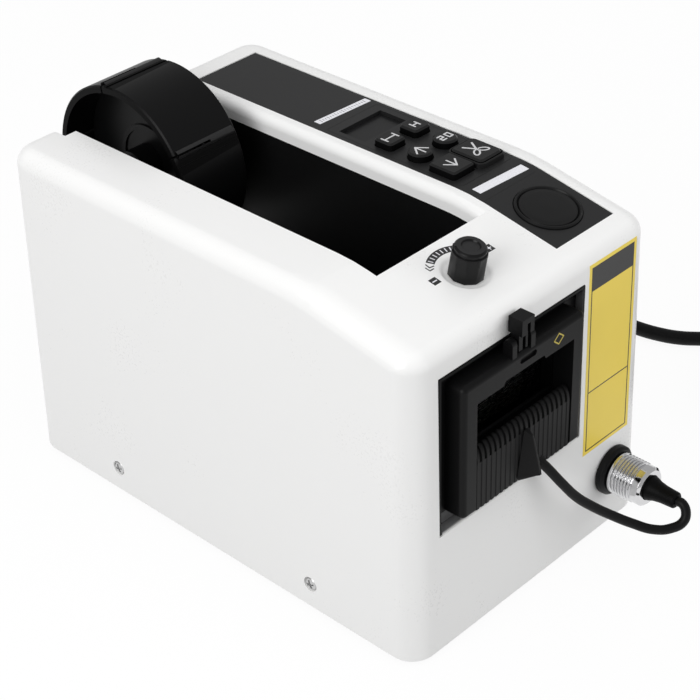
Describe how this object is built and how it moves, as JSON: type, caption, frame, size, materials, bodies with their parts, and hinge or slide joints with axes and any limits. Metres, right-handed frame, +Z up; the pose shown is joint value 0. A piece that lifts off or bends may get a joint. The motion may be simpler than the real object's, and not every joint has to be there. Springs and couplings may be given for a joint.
{
  "type": "automatic tape dispenser",
  "caption": "Motor-driven desk tape dispenser: open tape well with a core wheel, sloped key panel, pressure knob, guarded outlet with a ribbed comb, plug-in exit sensor and mains lead.",
  "frame": {"origin": "middle of the housing's footprint, on the table under the rubber feet", "axes": "+Z up; the tape outlet faces -Y; the control panel lies on the +X side of the tape well"},
  "size_m": [0.3051, 0.3811, 0.1591],
  "materials": {
    "white_shell": "moulded, glossy",
    "black_moulding": "moulded, fine grain",
    "wheel_black": "satin moulding",
    "panel_black": "satin sheet",
    "key_black": "satin gloss",
    "display_lens": "smoked, clear gloss",
    "circuit_board": "lacquered",
    "zinc_plate": "zinc plated sheet",
    "bright_steel": "ground",
    "motor_can": "drawn can",
    "feed_rubber": "ground rubber",
    "gear_white": "moulded",
    "brass_part": "turned",
    "chrome_nut": "polished",
    "supply_case": "folded sheet",
    "cord_black": "soft sheath"
  },
  "bodies": {
    "machine": {"housing": "white_shell", "base_plate": "zinc_plate", "rubber_feet": "feed_rubber", "housing_screws": "zinc_plate", "well_liner": "black_moulding", "axle_cheeks": "black_moulding", "control_panel": "panel_black", "display_window": "display_lens", "display_module": "black_moulding", "keypad_board": "circuit_board", "start_switch": "black_moulding", "pressure_spring": "bright_steel", "feed_bushes": "brass_part", "feed_motor": "motor_can", "frame_left": "zinc_plate", "frame_right": "zinc_plate", "motor_bracket": "zinc_plate", "cutter_motor": "motor_can", "fixed_blade": "bright_steel", "front_bezel": "black_moulding", "outlet_guard": "black_moulding", "outlet_comb": "black_moulding", "exit_sensor": "black_moulding", "sensor_socket": "cord_black", "coupling_nut": "chrome_nut", "plug_boot": "cord_black", "sensor_cord": "cord_black", "main_board": "circuit_board", "power_supply": "supply_case", "switch_frame": "black_moulding", "cord_bush": "cord_black", "power_cord": "cord_black", "power_cord_coil": "cord_black", "power_cord_tail": "cord_black", "cord_tie": "black_moulding", "mains_plug": "cord_black"},
    "wheel_axle": {"wheel_axle": "bright_steel"},
    "wheel": {"tape_wheel": "wheel_black"},
    "guide": {"guide_roller": "black_moulding"},
    "knob": {"pressure_knob": "key_black"},
    "yoke": {"pressure_yoke": "zinc_plate"},
    "press_roller": {"pressure_roller": "bright_steel"},
    "feed": {"feed_roller": "feed_rubber", "feed_shaft": "bright_steel", "feed_gear": "gear_white"},
    "pinion": {"motor_pinion": "brass_part"},
    "crank": {"crank_disc": "bright_steel"},
    "blade": {"blade_carriage": "zinc_plate", "moving_blade": "bright_steel"},
    "latch": {"guard_latch": "black_moulding"},
    "start": {"start_button": "key_black"},
    "rocker": {"power_switch": "black_moulding"},
    "key_long_unit": {"key_long_unit": "key_black"},
    "key_short_unit": {"key_short_unit": "key_black"},
    "key_up": {"key_up": "key_black"},
    "key_preset": {"key_preset": "key_black"},
    "key_down": {"key_down": "key_black"},
    "key_cut": {"key_cut": "key_black"}
  },
  "joints": [
    {"name": "wheel_lift", "type": "slide", "parent": "machine", "child": "wheel_axle", "axis": [0, 0, 1], "range_m": [0, 0.01]},
    {"name": "wheel_spin", "type": "hinge", "parent": "wheel_axle", "child": "wheel", "pos_m": [0, 0.0794, 0.122], "axis": [1, 0, 0], "continuous": true},
    {"name": "guide_spin", "type": "hinge", "parent": "machine", "child": "guide", "pos_m": [0, -0.057, 0.0987], "axis": [1, 0, 0], "continuous": true},
    {"name": "knob_turn", "type": "hinge", "parent": "machine", "child": "knob", "pos_m": [-0.013, -0.0826, 0.1352], "axis": [0, -0.184, 0.9829], "range_deg": [-75, 75]},
    {"name": "roller_lift", "type": "slide", "parent": "machine", "child": "yoke", "axis": [0, -0.184, 0.9829], "range_m": [0, 0.0015], "stiffness_N_per_m": 800, "springref_m": -0.002, "deforming": ["pressure_spring"]},
    {"name": "press_roller_spin", "type": "hinge", "parent": "yoke", "child": "press_roller", "pos_m": [0, -0.07671, 0.10375], "axis": [1, 0, 0], "continuous": true},
    {"name": "feed_spin", "type": "hinge", "parent": "machine", "child": "feed", "pos_m": [0, -0.07436, 0.09116], "axis": [1, 0, 0], "continuous": true},
    {"name": "pinion_spin", "type": "hinge", "parent": "machine", "child": "pinion", "pos_m": [0, -0.07436, 0.07676], "axis": [1, 0, 0], "continuous": true},
    {"name": "crank_turn", "type": "hinge", "parent": "machine", "child": "crank", "pos_m": [0, -0.088, 0.1], "axis": [1, 0, 0], "range_deg": [0, 100]},
    {"name": "blade_drop", "type": "slide", "parent": "machine", "child": "blade", "axis": [0, 0, -1], "range_m": [0, 0.00766]},
    {"name": "latch_tilt", "type": "hinge", "parent": "machine", "child": "latch", "pos_m": [0, -0.1079, 0.119], "axis": [1, 0, 0], "range_deg": [0, 12], "stiffness_Nm_per_rad": 0.05},
    {"name": "long_unit_press", "type": "slide", "parent": "machine", "child": "key_long_unit", "axis": [0, 0, -1], "range_m": [0, 0.0012], "stiffness_N_per_m": 300, "springref_m": -0.0005},
    {"name": "short_unit_press", "type": "slide", "parent": "machine", "child": "key_short_unit", "axis": [0, 0, -1], "range_m": [0, 0.0012], "stiffness_N_per_m": 300, "springref_m": -0.0005},
    {"name": "up_press", "type": "slide", "parent": "machine", "child": "key_up", "axis": [0, 0, -1], "range_m": [0, 0.0012], "stiffness_N_per_m": 300, "springref_m": -0.0005},
    {"name": "preset_press", "type": "slide", "parent": "machine", "child": "key_preset", "axis": [0, 0, -1], "range_m": [0, 0.0012], "stiffness_N_per_m": 300, "springref_m": -0.0005},
    {"name": "down_press", "type": "slide", "parent": "machine", "child": "key_down", "axis": [0, 0, -1], "range_m": [0, 0.0012], "stiffness_N_per_m": 300, "springref_m": -0.0005},
    {"name": "cut_press", "type": "slide", "parent": "machine", "child": "key_cut", "axis": [0, 0, -1], "range_m": [0, 0.0012], "stiffness_N_per_m": 300, "springref_m": -0.0005},
    {"name": "start_press", "type": "slide", "parent": "machine", "child": "start", "axis": [0, 0.184, -0.9829], "range_m": [0, 0.0012], "stiffness_N_per_m": 300, "springref_m": -0.0005},
    {"name": "rocker_tilt", "type": "hinge", "parent": "machine", "child": "rocker", "pos_m": [0, 0.104, 0.062], "axis": [1, 0, 0], "range_deg": [-16, 0]}
  ],
  "couplings": [
    {"joint": "pinion_spin", "follows": "feed_spin", "ratio": -2},
    {"joint": "crank_turn", "follows": "blade_drop", "rad_per_m": 227.84}
  ]
}
